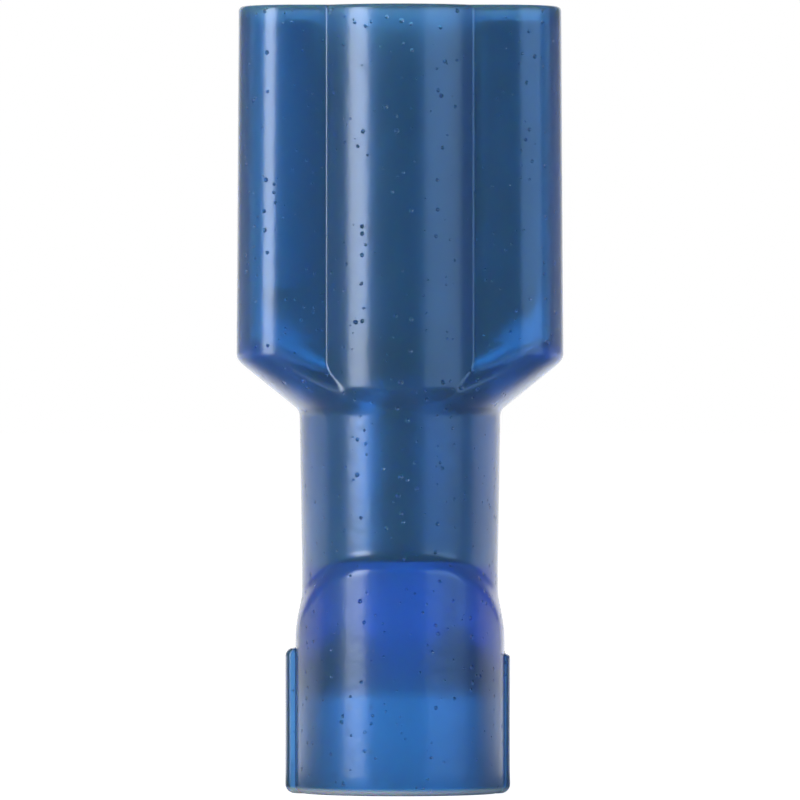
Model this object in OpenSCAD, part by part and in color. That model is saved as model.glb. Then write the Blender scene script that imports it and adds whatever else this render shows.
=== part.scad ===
// Insulated female spade terminal for 6.35 x 0.8 mm tabs and 1.5 to 2.5 mm2 wire.
// A moulded nylon housing covers a receptacle that is folded from one strip of tinned brass.
// The receptacle's crimp barrel sits in a plain tinned copper sleeve.
// The wire goes in at z = 0 and the tab at the top. The tab's flat faces look along Y.

/* [Tab and strip] */
// Width of the tab that the receptacle takes
tab_w = 6.35; // [6.2:0.05:6.5]
// Thickness of that tab
tab_t = 0.8; // [0.7:0.05:0.9]
// Play beside each edge of the tab
tab_play = 0.02; // [0.01:0.01:0.1]
// Thickness of the brass strip
strip_t = 0.41; // [0.35:0.01:0.46]

/* [Receptacle] */
// Length of the two rolled rails
rail_len = 7.3; // [6.4:0.1:8]
// Outer radius of a rolled rail
roll_r = 0.9; // [0.8:0.05:1.1]
// Straight leg that ends each roll and presses on the tab
contact_leg = 0.29; // [0.15:0.01:0.4]
// Inner radius of the fold between floor and rail
fold_r = 0.15; // [0.1:0.01:0.25]
// Corner radius at the rear end of each roll
rail_end_r = 0.75; // [0.4:0.05:0.9]
// Bevel at the front end of each roll
rail_bevel = 0.3; // [0.1:0.05:0.5]
// Diameter of the locking dimple in the floor
dimple_d = 1.3; // [1:0.1:1.6]
// Height of the dimple over the floor
dimple_h = 0.15; // [0.1:0.01:0.2]
// Length of the channel that narrows from rails to barrel
channel_len = 2.5; // [2:0.1:3]
// Side wall left standing where the channel meets the rails
channel_leg = 0.45; // [0.3:0.05:0.7]

/* [Crimp barrel] */
// Bore of the crimp barrel
barrel_bore = 2.4; // [2.2:0.05:2.6]
// Length of the crimp barrel
barrel_len = 5.1; // [4.5:0.1:5.5]
// Open width of the butted seam
seam_gap = 0.04; // [0.02:0.01:0.1]
// Chamfer inside the barrel's wire end
barrel_chamfer = 0.15; // [0.05:0.05:0.25]
// Wall of the sleeve round the barrel
sleeve_t = 0.38; // [0.3:0.02:0.5]
// Length of the sleeve
sleeve_len = 4.7; // [4:0.1:5]
// Chamfer on the sleeve's outer edges
sleeve_chamfer = 0.1; // [0.05:0.01:0.15]
// Gap between barrel and sleeve, and between sleeve and housing
press_gap = 0.02; // [0.01:0.01:0.05]

/* [Housing mouth] */
// Depth of the receptacle behind the mouth
mouth_recess = 0.4; // [0.2:0.05:0.8]
// Gap between the receptacle's sides and the cavity
side_gap = 0.12; // [0.05:0.01:0.2]
// Gap between the receptacle's faces and the cavity
face_gap = 0.15; // [0.05:0.01:0.2]
// Radius of the cavity's four long edges
cavity_edge_r = 0.5; // [0.3:0.05:0.7]
// Nylon wall beside the receptacle at the mouth
side_wall = 0.53; // [0.45:0.01:0.8]
// Nylon wall over the receptacle's flat faces
face_wall = 0.74; // [0.6:0.02:0.9]
// Radius of the housing's four long edges
edge_r = 1.5; // [1.2:0.1:1.8]
// How far each half width grows from mouth to shoulder
mouth_draft = 0.06; // [0:0.01:0.1]
// How far the centre of each round rib lies from the axis
rib_rise = 0.27; // [0.2:0.01:0.4]
// Nylon wall of the round ribs
rib_wall = 0.65; // [0.55:0.01:0.8]
// Fillet where a round rib meets the flat face
rib_blend = 0.03; // [0.01:0.01:0.08]
// Rounding of the mouth's outer rim
rim_r = 0.13; // [0.08:0.01:0.2]
// Chamfer inside the mouth
mouth_chamfer = 0.15; // [0.05:0.05:0.25]

/* [Housing shoulder and neck] */
// Slope of the shoulder, from the axis
shoulder_angle = 51; // [45:1:58]
// Nylon between the cavity and the shoulder, square to the slope
shoulder_wall = 0.79; // [0.65:0.01:1]
// Fillet between shoulder and neck
shoulder_fillet = 0.33; // [0.2:0.01:0.45]
// Length of the slope at the foot of each round rib
rib_slope = 0.65; // [0.5:0.05:0.8]
// Nylon wall of the neck at the collar
neck_wall = 0.65; // [0.55:0.01:0.8]
// How far the neck's radius grows from collar to shoulder
neck_draft = 0.065; // [0:0.005:0.1]

/* [Wire entry] */
// Outer diameter of collar and bell
bell_d = 5.84; // [5.6:0.02:6.2]
// Bore for the wire's insulation
entry_bore = 4.65; // [4.4:0.05:4.8]
// Depth of that bore
entry_len = 3.1; // [2.6:0.1:3.4]
// Length of the funnel between entry bore and throat
funnel_len = 1.5; // [1.2:0.1:1.8]
// Length of the throat below the sleeve's seat
throat_len = 1.6; // [1.2:0.1:1.8]
// How far the throat is wider than the barrel's bore
throat_step = 0.4; // [0.35:0.05:0.5]
// Corner radius of the collar, seen from the flat side
collar_r = 1.9; // [1.2:0.1:2.2]
// Height of the sloped step between neck and collar
collar_step = 0.3; // [0.2:0.05:0.4]
// Rounding of the bell's outer rim
bell_rim_r = 0.13; // [0.08:0.01:0.2]
// Chamfer at the edge of the entry bore
entry_chamfer = 0.15; // [0.05:0.05:0.2]

/* [Side lugs] */
// Width of the two lugs on the bell
lug_w = 1.25; // [1:0.05:1.5]
// Height of the lug on the left
left_lug_h = 3.97; // [3.5:0.01:4.2]
// How far the left lug stands out from the bell
left_lug_out = 0.217; // [0.1:0.001:0.3]
// Height of the lug on the right
right_lug_h = 3.8; // [3.5:0.01:4.2]
// How far the right lug stands out from the bell
right_lug_out = 0.096; // [0.05:0.001:0.3]

/* [Hidden] */
$fn = 96;
OVER = 1;            // how far a cutting tool runs past what it cuts
SINK = 0.01;         // how far a joined end stays inside the wall that it joins
ROOT = 0.05;         // how far a joined end runs into what it joins
LOFT_STEP = 3;       // angle between two points of the housing's loft
FOLD_STEPS = 8;      // chords in a quarter of a fold
CHANNEL_RINGS = 9;   // sections along the narrowing channel
LEG_SHARE = 0.25;    // share of the channel's side wall that already stands at the barrel

// Heights, from the wire's end up
throat_z = entry_len + funnel_len;
seat_z = throat_z + throat_len;
barrel_z = seat_z;
channel_z = barrel_z + barrel_len;
rail_z = channel_z + channel_len;
rail_top = rail_z + rail_len;
housing_h = rail_top + mouth_recess;

// Receptacle: the barrel is round the axis, the rails lie with their middle on it
barrel_r = barrel_bore / 2 + strip_t;
rail_w = tab_w + 2 * (tab_play + fold_r + strip_t);
contact_h = strip_t + tab_t;
rail_h = contact_h + contact_leg + roll_r;
fold_x = rail_w / 2 - strip_t - fold_r;
roll_x = rail_w / 2 - roll_r;
floor_y = rail_h / 2;

// Sleeve and the passages that let it through
sleeve_in_r = barrel_r + press_gap;
sleeve_r = sleeve_in_r + sleeve_t;
bore_r = sleeve_r + press_gap;

// Cavity and outer form of the housing
cavity_x = rail_w / 2 + side_gap;
cavity_y = rail_h / 2 + face_gap;
mouth_x = cavity_x + side_wall;
shoulder_x = mouth_x + mouth_draft;
flat_y = cavity_y + face_wall;
rib_bore_r = bore_r + press_gap;
rib_r = rib_bore_r + rib_wall;
neck_low_r = bore_r + neck_wall;
neck_r = neck_low_r + neck_draft;
throat_r = barrel_bore / 2 + throat_step / 2;
bell_r = bell_d / 2;
collar_z = seat_z;

// The cavity's floor slopes down to the bore, which ends just over the sleeve
cavity_slope_z = barrel_z + sleeve_len;
cavity_z = cavity_slope_z + (cavity_x - bore_r) / tan(shoulder_angle);
// The outer shoulder runs parallel to that slope, a wall's thickness below it
shoulder_z = cavity_z + (shoulder_x - cavity_x) / tan(shoulder_angle)
    - shoulder_wall / sin(shoulder_angle);
fillet_z = shoulder_z - (shoulder_x - neck_r) / tan(shoulder_angle);
fillet_run = shoulder_fillet * tan(shoulder_angle / 2);
// Each round rib starts within the fillet, a quarter of its own slope below the fillet's top
rib_foot_z = fillet_z + fillet_run - rib_slope / 4;

function mix(a, b, t) = a + (b - a) * min(max(t, 0), 1);
function ease(t) = let (s = min(max(t, 0), 1)) s * s * (3 - 2 * s);
function arc(cx, cy, r, from, to, steps) =
    [for (i = [0:steps]) let (a = from + (to - from) * i / steps) [cx + r * cos(a), cy + r * sin(a)]];
function reversed(points) = [for (i = [len(points) - 1:-1:0]) points[i]];
function flipped(points) = [for (p = points) [-p.x, p.y]];

// Distance from the axis to a circle about (cx, cy), in the direction a
function ray_to_circle(a, cx, cy, r) =
    let (along = cx * cos(a) + cy * sin(a))
    along + sqrt(max(along * along - cx * cx - cy * cy + r * r, 0));

// Distance from the axis to a rounded rectangle of half sizes hx and hy
function ray_to_slab(a, hx, hy, r) =
    let (c = abs(cos(a)), s = abs(sin(a)), turn = atan2(s, c))
    hx * s <= (hy - r) * c ? hx / c :
    hy * c <= (hx - r) * s ? hy / s :
    ray_to_circle(turn, hx - r, hy - r, r);

// Larger of two lengths, with a fillet that adds up to f where they are equal
function blend_max(a, b, f) =
    f <= 0 ? max(a, b) :
    let (h = max(1 - abs(a - b) / (4 * f), 0)) max(a, b) + f * h * h;

// Section of the housing or its cavity: a rounded slab with a round rib on each flat face
function ribbed_section(hx, hy, r, rise, rib, blend, z) =
    [for (a = [0:LOFT_STEP:359])
        let (slab = ray_to_slab(a, hx, hy, r),
             ribs = max(ray_to_circle(a, 0, rise, rib), ray_to_circle(a, 0, -rise, rib)),
             d = blend_max(slab, ribs, blend))
        [d * cos(a), d * sin(a), z]];

// Half width of the housing at height z: neck, fillet, slope, then the drafted sides
function half_width(z) =
    let (up = z - (fillet_z - fillet_run))
    z <= fillet_z - fillet_run ? neck_r :
    up < shoulder_fillet * sin(shoulder_angle)
        ? neck_r + shoulder_fillet - sqrt(pow(shoulder_fillet, 2) - up * up) :
    z < shoulder_z ? neck_r + (z - fillet_z) * tan(shoulder_angle) :
    mix(shoulder_x, mouth_x, (z - shoulder_z) / (housing_h - shoulder_z));

// The shoulder blends the slab into the round neck, in step with its half width
function shell_at(z, inset = 0) =
    let (t = z < shoulder_z ? (half_width(z) - neck_r) / (shoulder_x - neck_r) : 1,
         rib_t = ease((z - rib_foot_z) / rib_slope))
    ribbed_section(half_width(z) - inset, mix(neck_r, flat_y, t) - inset, mix(neck_r, edge_r, t) - inset,
                   rib_rise * rib_t, mix(neck_r, rib_r, rib_t) - inset, rib_blend * rib_t, z);

// The cavity is the bore's circle at t = 0 and has room for the rails and the sleeve at t = 1
function cavity_at(t, z, grow = 0) =
    ribbed_section(mix(bore_r, cavity_x, t) + grow, mix(bore_r, cavity_y, t) + grow,
                   mix(bore_r, cavity_edge_r, t), rib_rise * t, mix(bore_r, rib_bore_r, t) + grow, 0, z);

// End of a skin as strips across the ring, for a folded section whose halves face each other
function strip_end(n) = [for (i = [0:n / 2 - 2]) [i, i + 1, n - 2 - i, n - 1 - i]];

// End of a skin as a fan about the axis, for a section that goes round it
function fan_end(n, middle) = [for (i = [0:n - 1]) [middle, i, (i + 1) % n]];

// Closed skin over a stack of sections, which all have the same number of points
module skin(sections, round = false) {
    n = len(sections[0]);
    last = len(sections) - 1;
    top = last * n;
    middles = [for (k = [0, last]) [0, 0, sections[k][0].z]];
    low_end = round ? fan_end(n, top + n) : strip_end(n);
    high_end = round ? fan_end(n, n + 1) : strip_end(n);
    polyhedron(
        points = concat([for (section = sections) each section], round ? middles : []),
        faces = concat(
            low_end,
            [for (k = [0:n:top - n], i = [0:n - 1])
                let (a = k + i, b = k + (i + 1) % n) each [[a, a + n, b], [b, a + n, b + n]]],
            [for (face = high_end) [for (i = [len(face) - 1:-1:0]) top + face[i]]]),
        convexity = 6);
}

// Outer form above the neck: the fillet, the sloped shoulder and the ribbed slab with its round rim
module housing_loft() {
    fillet_low = fillet_z - fillet_run;
    fillet_top = fillet_low + shoulder_fillet * sin(shoulder_angle);
    skin(concat(
        [shell_at(fillet_low - ROOT, 3 * SINK)],
        [for (i = [1:4]) shell_at(mix(fillet_low, fillet_top, i / 4))],
        [for (i = [1:6]) shell_at(mix(fillet_top, shoulder_z, i / 6))],
        [for (a = [0:30:90]) shell_at(housing_h - rim_r * (1 - sin(a)), rim_r * (1 - cos(a)))]),
        round = true);
}

// Collar and bell: round about the axis, with the collar's corners rounded in the flat view
module bell_form() {
    intersection() {
        rotate_extrude()
            polygon(concat(
                [[0, 0]],
                arc(bell_r - bell_rim_r, bell_rim_r, bell_rim_r, -90, 0, 4),
                [[bell_r, collar_z - collar_step / 2],
                 [neck_low_r, collar_z + collar_step / 2],
                 [0, collar_z + collar_step / 2]]));
        rotate([90, 0, 0])
            linear_extrude(2 * bell_d, center = true)
                polygon(concat(
                    [[-bell_r - OVER, -OVER], [bell_r + OVER, -OVER],
                     [bell_r + OVER, collar_z + collar_step / 2 - collar_r]],
                    arc(bell_r - collar_r, collar_z + collar_step / 2 - collar_r, collar_r, 0, 90, 12),
                    arc(collar_r - bell_r, collar_z + collar_step / 2 - collar_r, collar_r, 90, 180, 12),
                    [[-bell_r - OVER, collar_z + collar_step / 2 - collar_r]]));
    }
}

// Neck: a drafted tube that carries the collar's step down to the throat
module neck_form() {
    rotate_extrude()
        polygon([[0, throat_z], [neck_low_r, throat_z], [neck_low_r, collar_z],
                 [neck_r, fillet_z - fillet_run], [0, fillet_z - fillet_run]]);
}

// Lug on the bell's side, rounded at its top outer corner
module side_lug(height, out, side) {
    mid_wall = (bell_r + entry_bore / 2) / 2;
    outline = concat(
        [[mid_wall, 0]],
        arc(bell_r + out / 2, out / 2, out / 2, -90, 0, 3),
        arc(bell_r, height - out, out, 0, 90, 5),
        [[mid_wall, height]]);
    rotate([90, 0, 0])
        linear_extrude(lug_w, center = true)
            polygon(side < 0 ? flipped(outline) : outline);
}

// Cavity: from inside the bore's top up the slope, straight to the mouth, and out along its chamfer
module cavity() {
    skin([
        cavity_at(0, cavity_slope_z - SINK, -3 * SINK),
        cavity_at(1, cavity_z),
        cavity_at(1, housing_h - mouth_chamfer),
        cavity_at(1, housing_h + mouth_chamfer, 2 * mouth_chamfer)],
        round = true);
}

// Bores on the axis, from the wire's end to the cavity
module wire_way() {
    rotate_extrude()
        polygon([[0, -OVER], [entry_bore / 2 + entry_chamfer + OVER, -OVER],
                 [entry_bore / 2 + entry_chamfer, 0], [entry_bore / 2, entry_chamfer],
                 [entry_bore / 2, entry_len], [throat_r, throat_z],
                 [throat_r, seat_z], [bore_r, seat_z],
                 [bore_r, cavity_slope_z], [0, cavity_slope_z]]);
}

module insulating_housing() {
    color("royalblue", 0.6)
    difference() {
        union() {
            housing_loft();
            neck_form();
            bell_form();
            side_lug(left_lug_h, left_lug_out, -1);
            side_lug(right_lug_h, right_lug_out, 1);
        }
        cavity();
        wire_way();
    }
}

// Half of the rail section, from the floor's middle out and over to the contact edge and back
function rail_half() = concat(
    arc(fold_x, strip_t + fold_r, strip_t + fold_r, -90, 0, FOLD_STEPS),
    arc(roll_x, rail_h - roll_r, roll_r, 0, 180, 2 * FOLD_STEPS),
    [[roll_x - roll_r, contact_h], [roll_x - roll_r + strip_t, contact_h]],
    arc(roll_x, rail_h - roll_r, roll_r - strip_t, 180, 0, 2 * FOLD_STEPS),
    arc(fold_x, strip_t + fold_r, fold_r, 0, -90, FOLD_STEPS));

// Plan of the corner cuts on the rolls: round at the rear end, bevelled at the front
module roll_corners() {
    inner_x = roll_x - roll_r;
    rear_size = rail_end_r + OVER;
    for (side = [-1, 1]) {
        difference() {
            translate([side * (inner_x + rail_end_r - rear_size / 2), rail_z + rail_end_r - rear_size / 2])
                square(rear_size, center = true);
            translate([side * (inner_x + rail_end_r), rail_z + rail_end_r]) circle(rail_end_r);
        }
        translate([side * inner_x, rail_top]) rotate(45) square(rail_bevel * sqrt(2), center = true);
    }
}

// Ball whose cap makes the dimple, on the bump's face or on the hollow's
module dimple_ball(face_y) {
    ball_r = (pow(dimple_d / 2, 2) + dimple_h * dimple_h) / (2 * dimple_h);
    translate([0, face_y - dimple_h + ball_r, rail_z + rail_len / 2]) sphere(ball_r);
}

// Floor with its dimple, and the two rolled rails that grip the tab
module rails() {
    half = rail_half();
    difference() {
        translate([0, floor_y, rail_z])
            mirror([0, 1, 0]) linear_extrude(rail_len) polygon(concat(half, flipped(reversed(half))));
        translate([0, floor_y - contact_h + SINK, 0])
            rotate([90, 0, 0]) linear_extrude(rail_h) roll_corners();
        dimple_ball(floor_y);
    }
    intersection() {
        dimple_ball(floor_y - strip_t);
        translate([-dimple_d, floor_y - strip_t - dimple_h - OVER / 2, rail_z])
            cube([2 * dimple_d, dimple_h + OVER / 2 + SINK, rail_len]);
    }
}

// Section of the narrowing channel: round like the barrel at t = 0, flat like the rails at t = 1
function channel_section(t, z) =
    let (flat = mix(SINK / 2, fold_x, ease(t)),
         fold = mix(barrel_r, strip_t + fold_r, ease(t)),
         leg = fold + channel_leg * mix(LEG_SHARE, 1, t),
         back_y = mix(barrel_r, floor_y, sin(90 * min(max(t, 0), 1))),
         outer = folded_half(flat, fold, fold - SINK, leg),
         inner = folded_half(flat, fold, fold - strip_t + SINK, leg))
    [for (p = concat(reversed(outer), flipped(outer), flipped(reversed(inner)), inner))
        [p.x, back_y - p.y, z]];

// One face of the folded strip, from near the middle out along the fold and up the leg
function folded_half(flat, fold, r, leg) = concat(arc(flat, fold, r, -90, 0, FOLD_STEPS), [[flat + r, leg]]);

// Channel folded up from the same strip, which joins the rails to the barrel
module channel() {
    skin([for (i = [0:CHANNEL_RINGS])
        let (z = mix(channel_z - ROOT, rail_z + ROOT, i / CHANNEL_RINGS))
        channel_section((z - channel_z) / channel_len, z)]);
}

// Barrel rolled from the strip, with its edges butted together on the open side
module barrel() {
    bore_r = barrel_bore / 2;
    difference() {
        translate([0, 0, barrel_z])
            rotate_extrude()
                polygon([[bore_r, barrel_chamfer], [bore_r + barrel_chamfer, 0], [barrel_r, 0],
                         [barrel_r, barrel_len], [bore_r, barrel_len]]);
        translate([-seam_gap / 2, -barrel_r - OVER, barrel_z - OVER])
            cube([seam_gap, barrel_r + OVER, barrel_len + 2 * OVER]);
    }
}

module receptacle_terminal() {
    color("silver") {
        rails();
        channel();
        barrel();
    }
}

module barrel_sleeve() {
    color("gainsboro")
        translate([0, 0, barrel_z])
            rotate_extrude()
                polygon([[sleeve_in_r, 0], [sleeve_r - sleeve_chamfer, 0], [sleeve_r, sleeve_chamfer],
                         [sleeve_r, sleeve_len - sleeve_chamfer],
                         [sleeve_r - sleeve_chamfer, sleeve_len], [sleeve_in_r, sleeve_len]]);
}

insulating_housing();
receptacle_terminal();
barrel_sleeve();
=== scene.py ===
"""Dresses the insulated female spade terminal: a clear blue nylon housing, a receptacle that is
folded from tinned brass strip, and a tinned copper sleeve round the crimp barrel.

Sizes are in millimetres and become metres in the meshes. The terminal stands on its wire entry at
z = 0, its mouth is at the top, and the tab's flat faces look along Y.
"""

import logging
import math
from dataclasses import dataclass
from enum import Enum

import bmesh
import bpy
import numpy as np
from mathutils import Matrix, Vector

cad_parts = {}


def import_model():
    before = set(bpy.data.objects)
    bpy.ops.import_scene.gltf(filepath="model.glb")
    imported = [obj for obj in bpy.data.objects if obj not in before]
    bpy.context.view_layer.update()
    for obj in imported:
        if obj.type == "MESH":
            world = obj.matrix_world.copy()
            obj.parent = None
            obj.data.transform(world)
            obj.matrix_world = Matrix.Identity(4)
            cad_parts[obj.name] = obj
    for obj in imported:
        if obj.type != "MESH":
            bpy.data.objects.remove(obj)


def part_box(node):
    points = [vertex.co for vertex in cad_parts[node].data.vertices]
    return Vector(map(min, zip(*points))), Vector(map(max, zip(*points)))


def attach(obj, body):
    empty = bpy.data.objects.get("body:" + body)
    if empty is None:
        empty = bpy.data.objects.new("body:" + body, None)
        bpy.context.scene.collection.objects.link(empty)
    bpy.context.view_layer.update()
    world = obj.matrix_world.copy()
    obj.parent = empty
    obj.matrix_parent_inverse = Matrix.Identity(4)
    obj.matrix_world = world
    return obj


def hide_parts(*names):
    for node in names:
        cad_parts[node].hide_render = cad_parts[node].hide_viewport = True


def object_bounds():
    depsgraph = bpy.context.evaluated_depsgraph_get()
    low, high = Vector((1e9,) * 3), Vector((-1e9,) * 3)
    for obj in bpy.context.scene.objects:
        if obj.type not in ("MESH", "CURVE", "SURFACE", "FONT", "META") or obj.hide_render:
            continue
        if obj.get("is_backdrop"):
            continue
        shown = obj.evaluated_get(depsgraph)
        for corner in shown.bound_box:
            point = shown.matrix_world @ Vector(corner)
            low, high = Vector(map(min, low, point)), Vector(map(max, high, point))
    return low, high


LOG = logging.getLogger("spade_terminal")
MM = 0.001
# Most values of a noise texture lie between these two
NOISE_SPAN = (0.35, 0.65)


class Node(Enum):
    """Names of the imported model's nodes."""

    HOUSING = "insulating_housing"
    RECEPTACLE = "receptacle_terminal"
    SLEEVE = "barrel_sleeve"


class Slot(Enum):
    """Names of the record's material slots."""

    NYLON = "nylon"
    BRASS = "tinned_brass"
    COPPER = "tinned_copper"


# ---------------------------------------------------------------- helpers


def linear(hex_colour: str) -> tuple[float, float, float, float]:
    """Turns an sRGB hex colour into linear values.

    Args:
        hex_colour: Six hex digits.

    Returns:
        Linear red, green and blue, with an alpha of 1.
    """
    values = [int(hex_colour[i : i + 2], 16) / 255 for i in (0, 2, 4)]
    flat = [v / 12.92 if v <= 0.04045 else ((v + 0.055) / 1.055) ** 2.4 for v in values]
    return flat[0], flat[1], flat[2], 1.0


def add_node(tree: bpy.types.NodeTree, kind: str, settings: dict | None = None,
             **links: object) -> bpy.types.Node:
    """Adds a node with its settings and its inputs.

    Args:
        tree: Tree that gets the node.
        kind: Type name of the node.
        settings: Values of the node's own properties.
        **links: Input name, with underscores for spaces or in_0 for a number, to a socket or value.

    Returns:
        The new node.
    """
    node = tree.nodes.new(kind)
    for name, value in (settings or {}).items():
        setattr(node, name, value)
    for name, value in links.items():
        key = int(name[3:]) if name.startswith("in_") else name.replace("_", " ")
        if isinstance(value, bpy.types.NodeSocket):
            tree.links.new(value, node.inputs[key])
        else:
            node.inputs[key].default_value = value
    return node


def remap(tree: bpy.types.NodeTree, value: bpy.types.NodeSocket, source: tuple[object, object],
          target: tuple[float, float] = (0.0, 1.0), eased: bool = False) -> bpy.types.NodeSocket:
    """Maps a value from one range to another and holds it at both ends.

    Args:
        tree: Tree that gets the node.
        value: Socket with the value.
        source: Range of the value, as numbers or sockets.
        target: Range of the result.
        eased: Whether the way between is a smooth step and not straight.

    Returns:
        Socket with the result.
    """
    step = {"interpolation_type": "SMOOTHSTEP"} if eased else None
    return add_node(tree, "ShaderNodeMapRange", step, Value=value, From_Min=source[0], From_Max=source[1],
                    To_Min=target[0], To_Max=target[1]).outputs[0]


def calculate(tree: bpy.types.NodeTree, operation: str, *values: object) -> bpy.types.NodeSocket:
    """Result of a math node whose inputs are sockets or numbers."""
    inputs = {f"in_{i}": value for i, value in enumerate(values)}
    return add_node(tree, "ShaderNodeMath", {"operation": operation}, **inputs).outputs[0]


def blend_colours(tree: bpy.types.NodeTree, share: bpy.types.NodeSocket, first: object,
                  second: object) -> bpy.types.NodeSocket:
    """Mix of two colours, each a socket or linear values, by the second one's share."""
    return add_node(tree, "ShaderNodeMix", {"data_type": "RGBA"}, in_0=share, in_6=first,
                    in_7=second).outputs[2]


def new_tree(name: str) -> tuple[bpy.types.Material, bpy.types.NodeTree]:
    """Starts a material with an empty tree.

    Args:
        name: Name of the material.

    Returns:
        The material and its node tree.
    """
    material = bpy.data.materials.new(name)
    material.use_nodes = True
    material.node_tree.nodes.clear()
    return material, material.node_tree


def in_metres(points: np.ndarray) -> list[tuple[float, float, float]]:
    """Turns an array of points in millimetres into tuples in metres."""
    return [tuple(p) for p in points.reshape(-1, 3) * MM]


def mesh_object(name: str, points: np.ndarray, faces: list[tuple[int, ...]],
                crease: float = 35) -> bpy.types.Object:
    """Makes a smooth-shaded object with sharp edges where its faces turn.

    Args:
        name: Name of the object and its mesh.
        points: Points in millimetres.
        faces: Corner numbers of each face.
        crease: Angle in degrees past which an edge is sharp.

    Returns:
        The object, at the origin and linked to the scene.
    """
    mesh = bpy.data.meshes.new(name)
    mesh.from_pydata(in_metres(points), [], faces)
    mesh.validate()
    obj = bpy.data.objects.new(name, mesh)
    bpy.context.scene.collection.objects.link(obj)
    smooth(mesh, crease)
    return obj


def smooth(mesh: bpy.types.Mesh, crease: float) -> None:
    """Points a mesh's faces outwards and shades it smooth up to an angle.

    Args:
        mesh: Mesh that is changed.
        crease: Angle in degrees past which an edge is sharp.
    """
    bm = bmesh.new()
    bm.from_mesh(mesh)
    bmesh.ops.recalc_face_normals(bm, faces=bm.faces)
    for face in bm.faces:
        face.smooth = True
    for edge in bm.edges:
        edge.smooth = len(edge.link_faces) == 2 and edge.calc_face_angle(0) < math.radians(crease)
    bm.to_mesh(mesh)
    bm.free()


def mix(a: float, b: float, t: float) -> float:
    """Value between a and b at the share t, which is held from 0 to 1."""
    return a + (b - a) * min(max(t, 0), 1)


def ease(t: float | np.ndarray) -> float | np.ndarray:
    """Smooth step from 0 to 1."""
    s = np.clip(t, 0, 1)
    return s * s * (3 - 2 * s)


def ray_to_circle(angle: np.ndarray, cx: float, cy: float, r: float) -> np.ndarray:
    """Distances from the axis to a circle.

    Args:
        angle: Directions in radians.
        cx: Centre of the circle along X.
        cy: Centre of the circle along Y.
        r: Radius of the circle.

    Returns:
        One distance for each direction.
    """
    along = cx * np.cos(angle) + cy * np.sin(angle)
    return along + np.sqrt(np.maximum(along**2 - cx**2 - cy**2 + r**2, 0))


def ray_to_slab(angle: np.ndarray, hx: float, hy: float, r: float) -> np.ndarray:
    """Distances from the axis to a rounded rectangle.

    Args:
        angle: Directions in radians.
        hx: Half width.
        hy: Half depth.
        r: Corner radius.

    Returns:
        One distance for each direction.
    """
    c = np.maximum(np.abs(np.cos(angle)), 1e-9)
    s = np.maximum(np.abs(np.sin(angle)), 1e-9)
    corner = ray_to_circle(np.arctan2(s, c), hx - r, hy - r, r)
    ends = np.where(hx * s <= (hy - r) * c, hx / c, corner)
    return np.where(hy * c <= (hx - r) * s, hy / s, ends)


def blend_max(a: np.ndarray, b: np.ndarray, fillet: float) -> np.ndarray:
    """Larger of two lengths, with a fillet where they meet.

    Args:
        a: First lengths.
        b: Second lengths.
        fillet: Most that the fillet adds.

    Returns:
        The blended lengths.
    """
    if fillet <= 0:
        return np.maximum(a, b)
    share = np.maximum(1 - np.abs(a - b) / (4 * fillet), 0)
    return np.maximum(a, b) + fillet * share**2


def arc(cx: float, cy: float, r: float, start: float, end: float, steps: int) -> list[tuple[float, float]]:
    """Points on an arc.

    Args:
        cx: Centre of the arc along the first axis.
        cy: Centre of the arc along the second axis.
        r: Radius.
        start: First angle in degrees.
        end: Last angle in degrees.
        steps: Number of chords.

    Returns:
        One point more than there are chords.
    """
    turns = np.radians(np.linspace(start, end, steps + 1))
    return [(cx + r * math.cos(a), cy + r * math.sin(a)) for a in turns]


def line(a: tuple[float, float], b: tuple[float, float], steps: int) -> list[tuple[float, float]]:
    """Points from a up to but without b."""
    return [(mix(a[0], b[0], i / steps), mix(a[1], b[1], i / steps)) for i in range(steps)]


# ---------------------------------------------------------------- finishes


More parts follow.
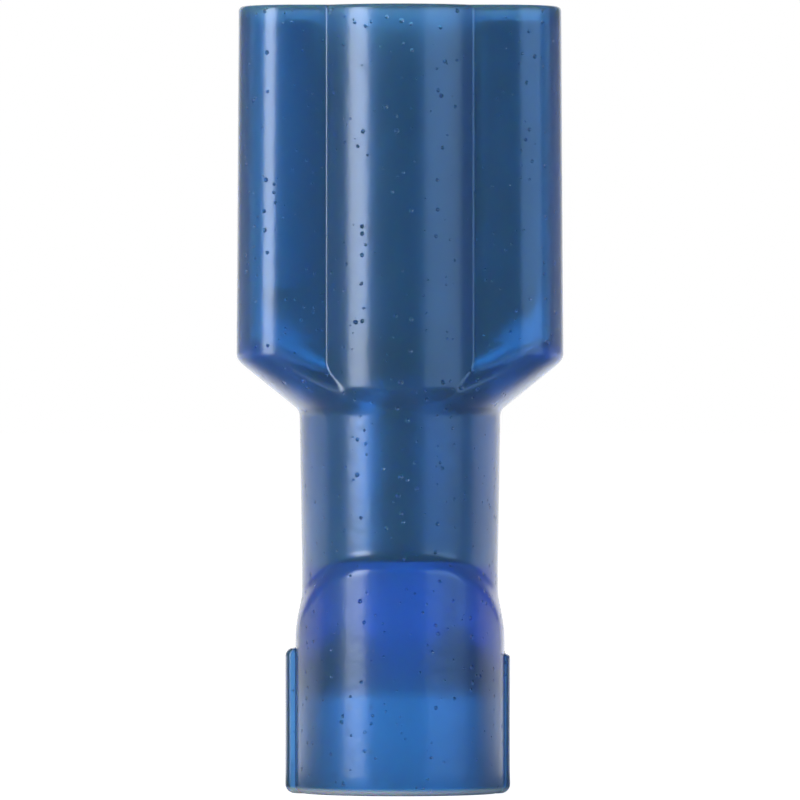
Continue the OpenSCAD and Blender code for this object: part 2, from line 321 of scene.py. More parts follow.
@dataclass(frozen=True)
class MouldedNylon:
    """Clear blue polyamide, injection moulded: cloudy, with a soft gloss and a few gas pits."""

    name: str = "moulded_blue_nylon"
    body: str = "7bd3fb"
    depth: str = "a0b4f2"
    density: float = 1000.0
    ior: float = 1.53
    roughness: float = 0.34
    gloss: float = 0.2
    under_skin: str = "9fcbff"
    clarity: float = 0.9
    scatter: tuple[float, float, float] = (0.15, 0.4, 1.0)
    scatter_depth: float = 0.9
    # Painted reflection: the rims are drawn paler and less clear, in place of the white that their rounded
    # edges reflect
    pale_rim_colour: str = "d6deec"
    pale_rim_clarity: float = 0.2
    rim_height: float = 0.22
    foot_pale_share: float = 1.0
    lip_height: float = 0.45
    lip_pale_share: float = 0.3
    top: float = 21.5
    pit_spacing: float = 0.27
    pit_size: float = 0.14
    pit_share: float = 0.8
    pit_floor: float = 0.3
    pit_edges: tuple[float, float] = (0.7, 2.0)
    pit_drop: float = 6.0
    peel_size: float = 0.35
    peel_depth: float = 0.006
    sheen_size: float = 3.0
    sheen_spread: tuple[float, float] = (0.85, 1.15)

    def skin(self, tree: bpy.types.NodeTree, place: bpy.types.NodeSocket) -> bpy.types.NodeSocket:
        """Adds the uneven skin and its pits.

        Args:
            tree: Tree that gets the nodes.
            place: Object coordinates.

        Returns:
            Socket with the bumped normal.
        """
        # Flow in the mould leaves the skin slightly uneven
        peel = add_node(tree, "ShaderNodeTexNoise", Vector=place, Scale=1 / (self.peel_size * MM), Detail=3.0)
        # Gas at the mould's wall leaves round pits. Their sizes are shares of the spacing, and the widest are
        # 0.15 mm across, which is coarser than they are
        pits = add_node(tree, "ShaderNodeTexVoronoi", {"feature": "F1"}, Vector=place,
                        Scale=1 / (self.pit_spacing * MM))
        parts = add_node(tree, "ShaderNodeSeparateColor", Color=pits.outputs["Color"]).outputs
        low, high = self.pit_edges
        width = remap(tree, parts["Green"], (0.0, 1.0), (self.pit_size * low, self.pit_size * high))
        bowl = remap(tree, pits.outputs["Distance"], (self.pit_size * self.pit_floor, width),
                     (-self.pit_drop, 0.0), eased=True)
        kept = calculate(tree, "LESS_THAN", parts["Red"], self.pit_share)
        height = calculate(tree, "MULTIPLY_ADD", bowl, kept, peel.outputs[0])
        return add_node(tree, "ShaderNodeBump", Strength=1.0, Distance=self.peel_depth * MM,
                        Height=height).outputs[0]

    def pale_rims(self, tree: bpy.types.NodeTree, place: bpy.types.NodeSocket) -> bpy.types.NodeSocket:
        """Paints both rims paler and less clear: a painted reflection of the white surroundings that their
        rounded edges catch.

        Args:
            tree: Tree that gets the nodes.
            place: Object coordinates.

        Returns:
            Socket with the share of frost.
        """
        z = add_node(tree, "ShaderNodeSeparateXYZ", Vector=place).outputs["Z"]
        foot = remap(tree, z, (self.rim_height * 0.5 * MM, self.rim_height * MM), (self.foot_pale_share, 0.0),
                     eased=True)
        lip = remap(tree, z, ((self.top - self.lip_height) * MM, self.top * MM), (0.0, self.lip_pale_share),
                    eased=True)
        return calculate(tree, "MAXIMUM", foot, lip)

    def build(self) -> bpy.types.Material:
        """Builds the material.

        Returns:
            Material with a clear, tinted body.
        """
        material, tree = new_tree(self.name)
        place = add_node(tree, "ShaderNodeTexCoord").outputs["Object"]
        normal = self.skin(tree, place)
        pale_rims = self.pale_rims(tree, place)
        sheen = add_node(tree, "ShaderNodeTexNoise", Vector=place, Scale=1 / (self.sheen_size * MM),
                         Detail=2.0)
        low, high = self.sheen_spread
        rough = remap(tree, sheen.outputs[0], NOISE_SPAN, (self.roughness * low, self.roughness * high))
        # Painted reflection at both rims: a paler colour and less clarity
        colour = blend_colours(tree, pale_rims, linear(self.body), linear(self.pale_rim_colour))
        clear = remap(tree, pale_rims, (0.0, 1.0), (self.clarity, self.clarity * self.pale_rim_clarity))
        shader = add_node(tree, "ShaderNodeBsdfPrincipled", Base_Color=colour, IOR=self.ior, Roughness=rough,
                          Transmission_Weight=clear, Subsurface_Weight=1.0, Subsurface_Radius=self.scatter,
                          Subsurface_Scale=self.scatter_depth * MM, Normal=normal, Coat_Weight=1.0,
                          Coat_Roughness=self.gloss, Coat_IOR=self.ior, Coat_Normal=normal,
                          Specular_Tint=linear(self.under_skin))
        inside = add_node(tree, "ShaderNodeVolumeAbsorption", Color=linear(self.depth), Density=self.density)
        add_node(tree, "ShaderNodeOutputMaterial", Surface=shader.outputs[0], Volume=inside.outputs[0])
        return material


@dataclass(frozen=True)
class TinnedMetal:
    """Electroplated tin over rolled strip: a soft grey gloss with fine die lines and small nicks."""

    name: str
    bright: str = "f4f2ec"
    dull: str = "6f6d69"
    core: str = "dfa74a"
    roughness: float = 0.5
    rough_spread: tuple[float, float] = (0.85, 1.35)
    rough_span: tuple[float, float] = (0.2, 0.9)
    # Painted highlight: tin left of this X, in mm, which takes in the left rail, is drawn brighter, as if lit
    # from the left
    painted_light_x: float = -2.0
    painted_light_blur: float = 0.3
    painted_light_share: tuple[float, float] = (-0.1, 0.6)
    nick_spacing: float = 0.55
    nick_size: float = 0.12
    line_width: float = 0.05
    line_stretch: float = 0.06
    line_depth: float = 0.004
    line_strength: float = 0.6
    patch_size: float = 0.8

    def plating(self, tree: bpy.types.NodeTree, place: bpy.types.NodeSocket) -> bpy.types.NodeSocket:
        """Adds the share of bright plating: patches, and a painted highlight that makes all that lies left of
        about X = -2 mm, the left rail, brighter and the rest a touch darker.

        Args:
            tree: Tree that gets the nodes.
            place: Object coordinates.

        Returns:
            Socket with the share, from 0 to 1.
        """
        patches = add_node(tree, "ShaderNodeTexNoise", Vector=place, Scale=1 / (self.patch_size * MM),
                           Detail=5.0)
        side = add_node(tree, "ShaderNodeSeparateXYZ", Vector=place).outputs["X"]
        edge = self.painted_light_blur
        # Painted highlight on the left rail: the share of bright tin rises towards the left
        painted_light_share = remap(tree, side, ((self.painted_light_x + edge) * MM, (self.painted_light_x - edge) * MM),
                        self.painted_light_share)
        return add_node(tree, "ShaderNodeMath", {"operation": "ADD", "use_clamp": True}, in_0=painted_light_share,
                        in_1=patches.outputs[0]).outputs[0]

    def build(self) -> bpy.types.Material:
        """Builds the material.

        Returns:
            Metal with lines along the strip.
        """
        material, tree = new_tree(self.name)
        place = add_node(tree, "ShaderNodeTexCoord").outputs["Object"]
        share = self.plating(tree, place)
        tint = blend_colours(tree, share, linear(self.dull), linear(self.bright))
        # Nicks in the plating show the metal under it, drawn coarser than they are so that they show
        nicks = add_node(tree, "ShaderNodeTexVoronoi", {"feature": "F1"}, Vector=place,
                         Scale=1 / (self.nick_spacing * MM))
        nick = calculate(tree, "LESS_THAN", nicks.outputs["Distance"], self.nick_size)
        worn = blend_colours(tree, nick, tint, linear(self.core))
        low, high = self.rough_spread
        rough = remap(tree, share, self.rough_span, (self.roughness * low, self.roughness * high))
        # The strip was drawn through the folding dies along Z
        stretched = add_node(tree, "ShaderNodeMapping", Vector=place, Scale=(1.0, 1.0, self.line_stretch))
        lines = add_node(tree, "ShaderNodeTexNoise", Vector=stretched.outputs[0],
                         Scale=1 / (self.line_width * MM), Detail=4.0)
        bump = add_node(tree, "ShaderNodeBump", Strength=self.line_strength, Distance=self.line_depth * MM,
                        Height=lines.outputs[0])
        shader = add_node(tree, "ShaderNodeBsdfPrincipled", Base_Color=worn, Metallic=1.0, Roughness=rough,
                          Normal=bump.outputs[0])
        add_node(tree, "ShaderNodeOutputMaterial", Surface=shader.outputs[0])
        return material


# ---------------------------------------------------------------- housing


@dataclass
class Housing:
    """Moulded nylon housing: ribbed mouth, sloped shoulder, round neck, arched collar, bell and two lugs."""

    height: float
    half_width: float
    half_depth: float
    rail_half_width: float
    sleeve_r: float
    seat_z: float
    sleeve_top: float
    finish: bpy.types.Material
    rail_half_depth: float = 1.2
    side_gap: float = 0.12
    face_gap: float = 0.15
    cavity_edge_r: float = 0.5
    mouth_draft: float = 0.06
    face_wall: float = 0.74
    edge_r: float = 1.5
    rib_rise: float = 0.27
    rib_blend: float = 0.012
    rim_r: float = 0.13
    mouth_chamfer: float = 0.15
    shoulder_angle: float = math.radians(51)
    shoulder_wall: float = 0.79
    shoulder_fillet: float = 0.33
    corner_blend: float = 0.05
    corner_reach: float = 0.2
    rib_slope: float = 0.65
    press_gap: float = 0.02
    neck_wall: float = 0.65
    neck_draft: float = 0.065
    bell_r: float = 2.92
    entry_r: float = 2.325
    entry_len: float = 3.1
    funnel_len: float = 1.5
    funnel_foot: float = 2.5
    throat_r: float = 1.4
    collar_r: float = 1.9
    collar_x: float = 0.82
    collar_top: float = 0.15
    collar_soft: float = 0.62
    skirt_drop: float = 0.45
    skirt_soft: float = 0.6
    bell_rim_r: float = 0.25
    entry_chamfer: float = 0.15
    lug_half: float = 0.625
    lug_tops: tuple[float, float] = (3.97, 3.8)
    lug_outs: tuple[float, float] = (0.217, 0.096)
    lug_square: float = 3.5
    lug_round: float = 2.5
    row_spans: tuple[tuple[float, float, float], ...] = (
        (0.57, 3.45, 0.32), (3.5, 4.1, 0.03), (4.16, 6.7, 0.06), (6.9, 10.2, 0.3), (10.24, 12.2, 0.05))

    def __post_init__(self) -> None:
        """Works out the sizes that follow from the others."""
        tan = math.tan(self.shoulder_angle)
        self.bore_r = self.sleeve_r + self.press_gap
        self.cavity_x = self.rail_half_width + self.side_gap
        self.cavity_y = self.rail_half_depth + self.face_gap
        self.flat_y = self.cavity_y + self.face_wall
        self.mouth_x = self.half_width - self.mouth_draft
        self.rib_r = self.half_depth - self.rib_rise
        self.rib_bore_r = self.bore_r + self.press_gap
        self.neck_low_r = self.bore_r + self.neck_wall
        self.neck_r = self.neck_low_r + self.neck_draft
        self.cavity_z = self.sleeve_top + (self.cavity_x - self.bore_r) / tan
        self.shoulder_z = (self.cavity_z + (self.half_width - self.cavity_x) / tan
                           - self.shoulder_wall / math.sin(self.shoulder_angle))
        self.fillet_z = self.shoulder_z - (self.half_width - self.neck_r) / tan
        self.fillet_low = self.fillet_z - self.shoulder_fillet * math.tan(self.shoulder_angle / 2)
        # A rib starts to rise a quarter of its slope below the upper end of the fillet
        self.rib_foot_z = 2 * self.fillet_z - self.fillet_low - self.rib_slope / 4
        self.angles = self.sample_angles()

    def sample_angles(self) -> np.ndarray:
        """Spreads the mesh's columns, closer together at the ribs' creases and the lugs' edges.

        Returns:
            Directions in radians, in rising order.
        """
        rib_crease, lug_edge = 45, 11.9
        crease = [rib_crease + d for d in np.arange(-4.5, 5.0, 0.5)]
        lug = [lug_edge + d for d in (-4.4, -3.4, -2.6, -1.9, -1.4, -1.0, -0.7, -0.45, -0.25, -0.1, 0, 0.1,
                                      0.3, 0.6)]
        close = [q + s * a for a in crease + lug for q in (0, 180) for s in (-1, 1)]
        even = np.arange(0, 360, 1.5)
        return np.radians(np.unique(np.round(np.concatenate([even, np.mod(close, 360)]), 3)))

    def ribbed(self, hx: float, hy: float, r: float, rise: float, rib: float, blend: float) -> np.ndarray:
        """Radii of a rounded slab with a round rib on each flat face.

        Args:
            hx: Half width of the slab.
            hy: Half depth of the slab.
            r: Corner radius of the slab.
            rise: How far each rib's centre lies from the axis.
            rib: Radius of the ribs.
            blend: Fillet between rib and slab.

        Returns:
            One radius for each column.
        """
        slab = ray_to_slab(self.angles, hx, hy, r)
        ribs = np.maximum(ray_to_circle(self.angles, 0, rise, rib), ray_to_circle(self.angles, 0, -rise, rib))
        return blend_max(slab, ribs, blend)

    def shell_half_width(self, z: float) -> float:
        """Half width of the outer form: neck, fillet, slope, then the drafted sides.

        Args:
            z: Height.

        Returns:
            Half width at that height.
        """
        up = z - self.fillet_low
        f = self.shoulder_fillet
        if up <= 0:
            return self.neck_r
        if up < f * math.sin(self.shoulder_angle):
            return self.neck_r + f - math.sqrt(f * f - up * up)
        slope = self.neck_r + (z - self.fillet_z) * math.tan(self.shoulder_angle)
        side = mix(self.half_width, self.mouth_x, (z - self.shoulder_z) / (self.height - self.shoulder_z))
        share = max(1 - abs(slope - side) / (4 * self.corner_blend), 0)
        return min(slope, side) - self.corner_blend * share**2

    def mouth_radii(self, z: float) -> np.ndarray:
        """Outer radii from the fillet up to the mouth.

        Args:
            z: Height.

        Returns:
            One radius for each column.
        """
        half = self.shell_half_width(z)
        t = 1.0
        if z < self.shoulder_z + self.corner_reach:
            t = min((half - self.neck_r) / (self.half_width - self.corner_blend - self.neck_r), 1)
        rib_t = ease((z - self.rib_foot_z) / self.rib_slope)
        round_t = ease(t)
        return self.ribbed(half, mix(self.neck_r, self.flat_y, round_t),
                           mix(self.neck_r, self.edge_r, round_t), self.rib_rise * rib_t,
                           mix(self.neck_r, self.rib_r, rib_t), self.rib_blend * rib_t)

    def bell_radii(self, z: float) -> np.ndarray:
        """Outer radii of neck, collar, bell and lugs.

        Args:
            z: Height.

        Returns:
            One radius for each column.
        """
        neck = mix(self.neck_low_r, self.neck_r, (z - self.seat_z) / (self.fillet_low - self.seat_z))
        soft = self.collar_soft
        foot = self.seat_z + self.collar_top - self.collar_r - soft / 2
        across = np.maximum(self.bell_r * np.abs(np.cos(self.angles)) - self.collar_x, 0)
        # Distance inside the arch, which is the same soft step all along its outline
        inside = self.collar_r + soft - np.hypot(across, max(z - foot, 0))
        share = np.maximum(ease(inside / soft), 1 - ease((z - foot + self.skirt_drop) / self.skirt_soft))
        radii = neck + (self.bell_r - neck) * share
        return np.maximum(radii, self.lug_radii(z))

    def lug_radii(self, z: float) -> np.ndarray:
        """Outer radii of the two lugs, or 0 beside and over them.

        Args:
            z: Height.

        Returns:
            One radius for each column.
        """
        radii = np.zeros_like(self.angles)
        for side, top, out in zip((-1, 1), self.lug_tops, self.lug_outs):
            if z >= top:
                continue
            up = max(z - (top - out), 0)
            reach = self.bell_r + math.sqrt(out * out - up * up)
            along = side * np.cos(self.angles)
            face = np.where(along > 0.5, reach / np.maximum(along, 0.5), 0)
            share = np.clip(np.abs(face * np.sin(self.angles)) / self.lug_half, 0, 1)
            # The long edges are rounded, so the lug bulges a little
            bulge = (1 - share**self.lug_square) ** (1 / self.lug_round)
            radii = np.maximum(radii, np.where(face > 0, self.bell_r + (face - self.bell_r) * bulge, 0))
        return radii

    def outer_rows(self) -> list[tuple[float, float]]:
        """Lists the outer rows from the floor to the mouth.

        Returns:
            Height of each row and how far it lies inside the form.
        """
        # The mouth is straight, so its rows lie far apart
        spans = self.row_spans + ((12.5, self.height - 0.3, 0.35),)
        rows = [(float(z), 0.0) for low, high, step in spans for z in np.arange(low, high, step)]
        corner = [(self.shoulder_z + d, 0.0) for d in (-0.02, 0.0, 0.02)]
        top = [(self.height - z, inset) for z, inset in reversed(rim_rows(self.rim_r))]
        return rim_rows(self.bell_rim_r) + sorted(rows + corner) + top

    def cavity_radii(self, t: float, grow: float) -> np.ndarray:
        """Radii of the cavity: the bore at t = 0, room for rails and sleeve at t = 1.

        Args:
            t: Share of the way from bore to cavity.
            grow: How much further out the wall lies.

        Returns:
            One radius for each column.
        """
        return self.ribbed(mix(self.bore_r, self.cavity_x, t) + grow,
                           mix(self.bore_r, self.cavity_y, t) + grow,
                           mix(self.bore_r, self.cavity_edge_r, t), self.rib_rise * t,
                           mix(self.bore_r, self.rib_bore_r, t) + grow, 0)

    def inner_rings(self) -> list[tuple[float, np.ndarray]]:
        """Lists the inner rows from the mouth to the wire entry.

        Returns:
            Height of each row and its radius for each column.
        """
        ring = np.full_like(self.angles, 1.0)
        chamfer = self.mouth_chamfer
        rows = [(self.height, self.cavity_radii(1, chamfer)),
                (self.height - chamfer, self.cavity_radii(1, 0))]
        for z in np.linspace(self.height - 0.8, self.cavity_z, 14):
            rows.append((float(z), self.cavity_radii(1, 0)))
        for t in np.linspace(0.92, 0, 12):
            rows.append((mix(self.sleeve_top, self.cavity_z, t), self.cavity_radii(t, 0)))
        for z in np.linspace(self.sleeve_top - 0.6, self.seat_z, 8):
            rows.append((float(z), ring * self.bore_r))
        throat_z = self.entry_len + self.funnel_len
        for z in np.linspace(self.seat_z, throat_z, 4):
            rows.append((float(z), ring * self.throat_r))
        # A short, steep funnel would reflect totally and look black, so this one is long and eased
        for t in np.linspace(1, 0, 24)[1:]:
            radius = mix(self.entry_r, self.throat_r, ease(t))
            rows.append((mix(self.funnel_foot, throat_z, t), ring * radius))
        for z in np.linspace(self.funnel_foot, self.entry_chamfer, 6)[1:]:
            rows.append((float(z), ring * self.entry_r))
        rows.append((0.0, ring * (self.entry_r + self.entry_chamfer)))
        return rows

    def build(self) -> bpy.types.Object:
        """Builds the housing as one closed mesh.

        Returns:
            The dressed housing.
        """
        rings = []
        for z, inset in self.outer_rows():
            radii = self.bell_radii(z) if z < self.fillet_low else self.mouth_radii(z)
            rings.append((z, radii - inset))
        rings += self.inner_rings()
        points = np.array([np.stack([r * np.cos(self.angles), r * np.sin(self.angles),
                                     np.full_like(r, z)], 1) for z, r in rings])
        n, rows = len(self.angles), len(rings)
        faces = [(k * n + i, k * n + (i + 1) % n, (k + 1) % rows * n + (i + 1) % n, (k + 1) % rows * n + i)
                 for k in range(rows) for i in range(n)]
        obj = mesh_object("nylon_housing", points, faces, 30)
        obj.data.materials.append(self.finish)
        return obj


def rim_rows(r: float) -> list[tuple[float, float]]:
    """Height and inset of each row of a rounded rim, from its tip to its end."""
    return [(r * (1 - math.sin(a)), r * (1 - math.cos(a))) for a in np.radians([90, 72, 54, 36, 18, 0])]


# ---------------------------------------------------------------- receptacle


@dataclass
class Receptacle:
    """Receptacle folded from one strip: a floor with a dimple, two rolled rails, a channel and a barrel.

    A section of the strip is its middle line, which gets half the strip's thickness on each side.
    """

    half_width: float
    low_z: float
    top_z: float
    finish: bpy.types.Material
    floor_y: float = 1.2
    strip_t: float = 0.41
    tab_t: float = 0.8
    contact_leg: float = 0.29
    roll_r: float = 0.9
    fold_r: float = 0.15
    side_low: float = 0.7
    rail_len: float = 7.3
    rail_end_r: float = 0.75
    rail_bevel: float = 0.3
    dimple_r: float = 0.65
    dimple_h: float = 0.15
    channel_len: float = 2.5
    channel_leg: float = 0.45
    channel_leg_low: float = 0.11
    channel_flat_low: float = 0.005
    channel_thinner: float = 0.02
    barrel_r: float = 1.61
    seam_gap: float = 0.04
    edge_r: float = 0.06
    root: float = 0.05

    def __post_init__(self) -> None:
        """Works out the sizes that follow from the others."""
        self.rail_z = self.top_z - self.rail_len
        self.channel_z = self.rail_z - self.channel_len
        self.contact_h = self.strip_t + self.tab_t
        self.roll_x = self.half_width - self.roll_r
        self.roll_h = self.contact_h + self.contact_leg
        self.fold_x = self.half_width - self.strip_t - self.fold_r

    def sheet(self, middle: np.ndarray, thickness: float) -> tuple[np.ndarray, list[tuple[int, ...]]]:
        """Gives a surface its thickness and closes its edges.

        Args:
            middle: Points of the middle surface, in rows across the strip, of shape (rows, columns, 3).
            thickness: Thickness of the strip.

        Returns:
            Points and faces of the closed sheet.
        """
        across = np.gradient(middle[:, :, :2], axis=1)
        normal = np.stack([across[:, :, 1], -across[:, :, 0]], 2)
        normal /= np.linalg.norm(normal, axis=2, keepdims=True)
        offset = np.concatenate([normal * thickness / 2, np.zeros(middle.shape[:2] + (1,))], 2)
        loop = np.concatenate([middle + offset, (middle - offset)[:, ::-1]], 1)
        rows, n = loop.shape[:2]
        faces = [(k * n + i, k * n + (i + 1) % n, (k + 1) * n + (i + 1) % n, (k + 1) * n + i)
                 for k in range(rows - 1) for i in range(n)]
        for k in (0, rows - 1):
            faces += [(k * n + i, k * n + i + 1, k * n + n - 2 - i, k * n + n - 1 - i)
                      for i in range(n // 2 - 1)]
        return loop.reshape(-1, 3), faces

    def rail_middle(self) -> np.ndarray:
        """Lays out the floor and the rolled rails, with the corners of the rolls cut.

        Returns:
            Points of the middle surface, in rows across the strip.
        """
        half_t = self.strip_t / 2
        half = line((0, half_t), (self.fold_x, half_t), 22)
        half += arc(self.fold_x, self.strip_t + self.fold_r, self.fold_r + half_t, -90, 0, 8)
        half += line((self.half_width - half_t, self.side_low), (self.half_width - half_t, self.roll_h), 4)
        half += arc(self.roll_x, self.roll_h, self.roll_r - half_t, 0, 180, 28)
        half += [(self.roll_x - self.roll_r + half_t, mix(self.roll_h, self.contact_h, t)) for t in (0.5, 1)]
        inner_x = self.roll_x - self.roll_r
        columns = []
        for x, y in half:
            low, high = 0.0, self.rail_len
            if y > self.contact_h - 0.01:
                # Reach of the roll's outer face over this point of its middle line
                face_x = self.roll_x + (x - self.roll_x) * self.roll_r / (self.roll_r - half_t)
                left = max(inner_x + self.rail_end_r - face_x, 0)
                low = self.rail_end_r - math.sqrt(max(self.rail_end_r**2 - left**2, 0))
                high -= max(self.rail_bevel - (face_x - inner_x), 0)
            z = np.linspace(self.rail_z + low, self.rail_z + high, 56)
            reach = np.hypot(x, z - self.rail_z - self.rail_len / 2)
            bump = self.dimple_h * np.clip(1 - (reach / self.dimple_r) ** 2, 0, 1) * (y < self.strip_t)
            columns.append(np.stack([np.full_like(z, x), self.floor_y - y - bump, z], 1))
        right = np.stack(columns, 1)
        left = right[:, :0:-1] * np.array([-1, 1, 1])
        return np.concatenate([left, right], 1)

    def channel_middle(self) -> np.ndarray:
        """Lays out the channel, from the barrel's round to the rails' flat floor.

        Returns:
            Points of the middle surface, in rows across the strip.
        """
        rows = []
        for z in np.linspace(self.channel_z - self.root, self.rail_z + self.root, 26):
            t = min(max((z - self.channel_z) / self.channel_len, 0), 1)
            flat = mix(self.channel_flat_low, self.fold_x, ease(t))
            fold = mix(self.barrel_r, self.strip_t + self.fold_r, ease(t))
            leg = fold + mix(self.channel_leg_low, self.channel_leg, t)
            back_y = mix(self.barrel_r, self.floor_y, math.sin(math.pi / 2 * t))
            r = fold - self.strip_t / 2
            half = line((0, fold - r), (flat, fold - r), 10) + arc(flat, fold, r, -90, 0, 14)
            half += [(flat + r, mix(fold, leg, k / 3)) for k in (1, 2, 3)]
            right = [(x, back_y - y, z) for x, y in half]
            rows.append([(-x, y, z) for x, y, z in right[:0:-1]] + right)
        return np.array(rows)

    def barrel_middle(self) -> np.ndarray:
        """Lays out the barrel, whose butted edges face the open side of the rails.

        Returns:
            Points of the middle surface, in rows across the strip.
        """
        r = self.barrel_r - self.strip_t / 2
        gap = math.degrees(self.seam_gap / 2 / r)
        ring = arc(0, 0, r, -90 + gap, 270 - gap, 96)
        return np.array([[(x, y, z) for x, y in ring] for z in np.linspace(self.low_z, self.channel_z, 16)])

    def build(self) -> bpy.types.Object:
        """Builds the receptacle.

        Returns:
            The dressed receptacle, with its cut edges rounded.
        """
        points, faces = np.zeros((0, 3)), []
        # The channel is a touch thinner, so that its ends lie inside rails and barrel
        for middle, thickness in ((self.rail_middle(), self.strip_t),
                                  (self.channel_middle(), self.strip_t - self.channel_thinner),
                                  (self.barrel_middle(), self.strip_t)):
            part, rings = self.sheet(middle, thickness)
            faces += [tuple(i + len(points) for i in face) for face in rings]
            points = np.concatenate([points, part])
        obj = mesh_object("folded_receptacle", points, faces, 180)
        bevel = obj.modifiers.new("cut_edges", "BEVEL")
        bevel.width, bevel.segments = self.edge_r * MM, 3
        bevel.limit_method, bevel.angle_limit = "ANGLE", math.radians(50)
        obj.data.materials.append(self.finish)
        return obj


# ---------------------------------------------------------------- sleeve


@dataclass
class Sleeve:
    """Plain copper tube round the crimp barrel, turned by Geometry Nodes from its wall's outline."""

    outer_r: float
    low_z: float
    top_z: float
    finish: bpy.types.Material
    wall: float = 0.38
    edge_r: float = 0.1
    sides: int = 128

    def tree(self) -> bpy.types.NodeTree:
        """Builds the node tree.

        Returns:
            Tree with named inputs for the tube's sizes.
        """
        tree = bpy.data.node_groups.new("turned_tube", "GeometryNodeTree")
        for name in ("Outer radius", "Wall", "Length", "Foot", "Edge radius"):
            tree.interface.new_socket(name, in_out="INPUT", socket_type="NodeSocketFloat")
        tree.interface.new_socket("Geometry", in_out="OUTPUT", socket_type="NodeSocketGeometry")
        size = add_node(tree, "NodeGroupInput").outputs
        middle_r = calculate(tree, "MULTIPLY_ADD", size["Wall"], -0.5, size["Outer radius"])
        path = add_node(tree, "GeometryNodeCurvePrimitiveCircle", Resolution=self.sides, Radius=middle_r)
        wall = add_node(tree, "GeometryNodeCurvePrimitiveQuadrilateral", Width=size["Wall"],
                        Height=size["Length"])
        outline = add_node(tree, "GeometryNodeFilletCurve", {"mode": "POLY"}, Curve=wall.outputs[0], Count=5,
                           Radius=size["Edge radius"])
        tube = add_node(tree, "GeometryNodeCurveToMesh", Curve=path.outputs[0],
                        Profile_Curve=outline.outputs[0])
        middle_z = calculate(tree, "MULTIPLY_ADD", size["Length"], 0.5, size["Foot"])
        rise = add_node(tree, "ShaderNodeCombineXYZ", Z=middle_z)
        placed = add_node(tree, "GeometryNodeTransform", Geometry=tube.outputs[0],
                          Translation=rise.outputs[0])
        real = add_node(tree, "GeometryNodeRealizeInstances", Geometry=placed.outputs[0])
        dressed = add_node(tree, "GeometryNodeSetMaterial", Geometry=real.outputs[0], Material=self.finish)
        add_node(tree, "NodeGroupOutput", Geometry=dressed.outputs[0])
        return tree

    def build(self) -> bpy.types.Object:
        """Builds the sleeve.

        Returns:
            The dressed sleeve as a plain mesh.
        """
        sizes = {"Outer radius": self.outer_r, "Wall": self.wall, "Length": self.top_z - self.low_z,
                 "Foot": self.low_z, "Edge radius": self.edge_r}
        obj = run_nodes("barrel_tube", self.tree(), sizes)
        smooth(obj.data, 35)
        return obj


def run_nodes(name: str, tree: bpy.types.NodeTree, sizes: dict[str, float]) -> bpy.types.Object:
    """Runs a Geometry Nodes tree and keeps its result as a plain mesh.

    Args:
        name: Name of the object and its mesh.
        tree: Tree whose inputs are lengths.
        sizes: Value of each named input, in millimetres.

    Returns:
        The object, at the origin and linked to the scene, without a modifier.
    """
    obj = bpy.data.objects.new(name, bpy.data.meshes.new(name + "_seed"))
    bpy.context.scene.collection.objects.link(obj)
    modifier = obj.modifiers.new("nodes", "NODES")
    modifier.node_group = tree
    for socket in tree.interface.items_tree:
        if socket.item_type == "SOCKET" and socket.in_out == "INPUT":
            modifier[socket.identifier] = sizes[socket.name] * MM
    graph = bpy.context.evaluated_depsgraph_get()
    mesh = bpy.data.meshes.new_from_object(obj.evaluated_get(graph), preserve_all_data_layers=True,
                                           depsgraph=graph)
    mesh.name = name
    obj.modifiers.remove(modifier)
    obj.data = mesh
    return obj


# ---------------------------------------------------------------- studio


@dataclass(frozen=True)
class Lamp:
    """A soft box that looks at the object's middle."""

    name: str
    azimuth: float
    elevation: float
    distance: float
    width: float
    height: float
    power: float
    colour: str = "f2f7ff"

    def build(self, centre: Vector) -> None:
        """Adds the lamp.

        Args:
            centre: Point that the lamp looks at, in metres.
        """
        data = bpy.data.lights.new(self.name, "AREA")
        data.shape = "RECTANGLE"
        data.size, data.size_y, data.energy = self.width, self.height, self.power
        data.color = linear(self.colour)[:3]
        a, e = math.radians(self.azimuth), math.radians(self.elevation)
        back = Vector((math.sin(a) * math.cos(e), -math.cos(a) * math.cos(e), math.sin(e)))
        lamp = bpy.data.objects.new(self.name, data)
        lamp.location = centre + back * self.distance
        lamp.rotation_mode = "QUATERNION"
        lamp.rotation_quaternion = (-back).to_track_quat("-Z", "Y")
        bpy.context.scene.collection.objects.link(lamp)


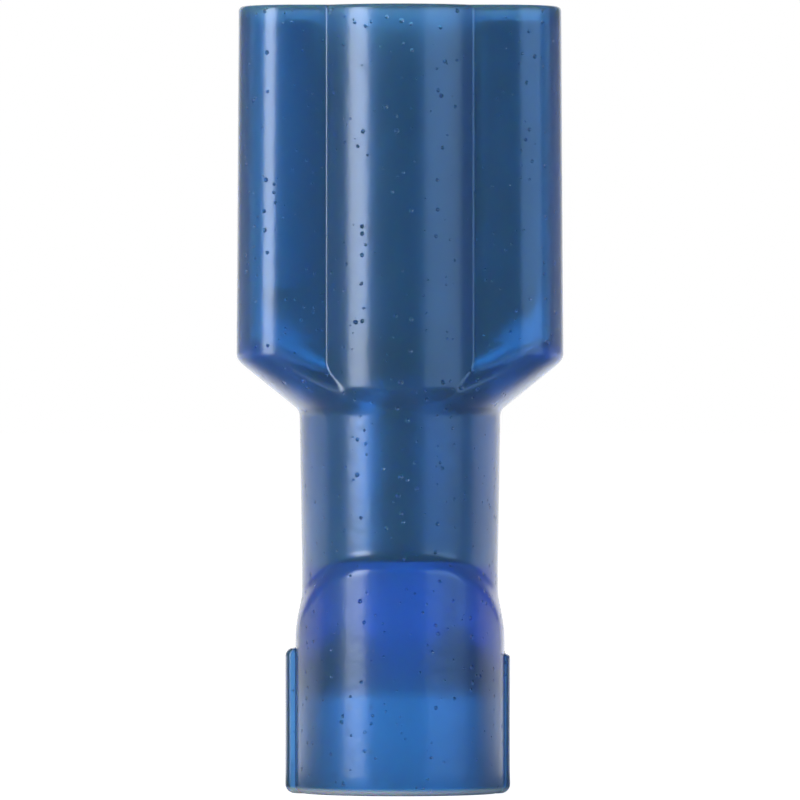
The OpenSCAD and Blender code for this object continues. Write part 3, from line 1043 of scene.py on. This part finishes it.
@dataclass
class Studio:
    """Pale floor, white surroundings, two soft boxes and a level camera."""

    centre: Vector
    camera_distance: float = 0.285
    frame_height: float = 0.0219
    azimuth: float = 0.0
    room_level: float = 0.14
    backdrop_edge: tuple[float, float] = (0.75, 0.96)
    floor_grey: str = "e8e8e8"
    floor_glow: float = 0.92
    floor_fade: float = 0.02
    floor_half: float = 3000.0
    sensor_width: float = 36.0
    lamps: tuple[Lamp, ...] = (
        Lamp("strip_left", -50, 4, 0.3, 0.125, 0.3, 0.84),
        Lamp("panel_right", 52, 4, 0.3, 0.26, 0.3, 0.46, "b4dcff"),
    )

    def build(self) -> None:
        """Builds the whole studio."""
        self.build_world()
        self.build_floor()
        for lamp in self.lamps:
            lamp.build(self.centre)
        self.build_camera()
        bpy.context.scene.view_settings.view_transform = "Standard"

    def build_world(self) -> None:
        """White for the eye, white behind the object in nylon and metal, and a dim room elsewhere."""
        world = bpy.data.worlds.new("surroundings")
        bpy.context.scene.world = world
        world.use_nodes = True
        tree = world.node_tree
        tree.nodes.clear()
        ray = add_node(tree, "ShaderNodeTexCoord").outputs["Generated"]
        ahead = add_node(tree, "ShaderNodeSeparateXYZ", Vector=ray).outputs["Y"]
        behind = remap(tree, ahead, self.backdrop_edge, eased=True)
        strength = remap(tree, seen_directly(tree, behind), (0.0, 1.0), (self.room_level, 1.0))
        light = add_node(tree, "ShaderNodeBackground", Color=(1, 1, 1, 1), Strength=strength)
        add_node(tree, "ShaderNodeOutputWorld", Surface=light.outputs[0])

    def build_floor(self) -> None:
        """Floor that reads as white and keeps the object's shadow."""
        size = self.floor_half
        points = np.array([[-size, -size, 0], [size, -size, 0], [size, size, 0], [-size, size, 0]], float)
        floor = mesh_object("floor", points, [(0, 1, 2, 3)])
        material, tree = new_tree("white_floor")
        paint = add_node(tree, "ShaderNodeBsdfDiffuse", Color=linear(self.floor_grey))
        glow = add_node(tree, "ShaderNodeEmission", Color=(1, 1, 1, 1), Strength=self.floor_glow)
        both = add_node(tree, "ShaderNodeAddShader", in_0=paint.outputs[0], in_1=glow.outputs[0])
        place = add_node(tree, "ShaderNodeTexCoord").outputs["Object"]
        depth = add_node(tree, "ShaderNodeSeparateXYZ", Vector=place).outputs["Y"]
        # In reflections and through the nylon the floor is white behind the object, as the room is
        behind = remap(tree, depth, (0.0, self.floor_fade), eased=True)
        blend = add_node(tree, "ShaderNodeMixShader", in_0=seen_directly(tree, behind),
                         in_1=paint.outputs[0], in_2=both.outputs[0])
        add_node(tree, "ShaderNodeOutputMaterial", Surface=blend.outputs[0])
        floor.data.materials.append(material)
        floor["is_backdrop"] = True

    def build_camera(self) -> None:
        """Level camera at the object's middle height."""
        data = bpy.data.cameras.new("camera")
        data.sensor_width = self.sensor_width
        data.lens = self.sensor_width * self.camera_distance / self.frame_height
        data.clip_start, data.clip_end = 0.01, 10
        camera = bpy.data.objects.new("camera", data)
        a = math.radians(self.azimuth)
        back = Vector((math.sin(a), -math.cos(a), 0))
        camera.location = self.centre + back * self.camera_distance
        camera.rotation_mode = "QUATERNION"
        camera.rotation_quaternion = (-back).to_track_quat("-Z", "Y")
        bpy.context.scene.collection.objects.link(camera)
        bpy.context.scene.camera = camera


def seen_directly(tree: bpy.types.NodeTree, behind: bpy.types.NodeSocket) -> bpy.types.NodeSocket:
    """White share: all of the background for the eye, the part behind the object for nylon and metal.

    Args:
        tree: Tree that gets the nodes.
        behind: 1 behind the object and 0 in front of it.

    Returns:
        Socket that is 1 where a ray sees white.
    """
    path = add_node(tree, "ShaderNodeLightPath").outputs
    through = calculate(tree, "MAXIMUM", path["Is Glossy Ray"], path["Is Transmission Ray"])
    return calculate(tree, "MAXIMUM", calculate(tree, "MULTIPLY", through, behind), path["Is Camera Ray"])


# ---------------------------------------------------------------- main


def node_box(node: Node) -> tuple[Vector, Vector]:
    """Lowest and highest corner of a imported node, in millimetres."""
    low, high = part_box(node.value)
    return Vector(low) / MM, Vector(high) / MM


def main() -> None:
    """Builds the pieces, the finishes and the studio."""
    logging.basicConfig(level=logging.INFO, format="%(message)s")
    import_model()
    cad_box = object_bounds()
    housing_low, housing_high = node_box(Node.HOUSING)
    rail_low, rail_high = node_box(Node.RECEPTACLE)
    sleeve_low, sleeve_high = node_box(Node.SLEEVE)
    studio = Studio(centre=(cad_box[0] + cad_box[1]) / 2)
    studio.build()

    housing = Housing(
        height=housing_high.z, half_width=housing_high.x, half_depth=housing_high.y,
        rail_half_width=rail_high.x, sleeve_r=sleeve_high.x,
        seat_z=sleeve_low.z, sleeve_top=sleeve_high.z, finish=MouldedNylon().build()).build()
    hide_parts(Node.HOUSING.value)
    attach(housing, "root")
    LOG.info("housing: %d faces", len(housing.data.polygons))

    receptacle = Receptacle(
        half_width=rail_high.x, low_z=rail_low.z, top_z=rail_high.z, barrel_r=rail_high.y,
        finish=TinnedMetal("tinned_brass_strip").build()).build()
    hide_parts(Node.RECEPTACLE.value)
    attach(receptacle, "root")
    LOG.info("receptacle: %d faces before its edges are rounded", len(receptacle.data.polygons))

    sleeve = Sleeve(
        outer_r=sleeve_high.x, low_z=sleeve_low.z, top_z=sleeve_high.z,
        finish=TinnedMetal("tinned_copper_tube", core="c77b54", roughness=0.42).build()).build()
    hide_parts(Node.SLEEVE.value)
    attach(sleeve, "root")
    LOG.info("sleeve: %d faces", len(sleeve.data.polygons))


if __name__ == "__main__":
    main()
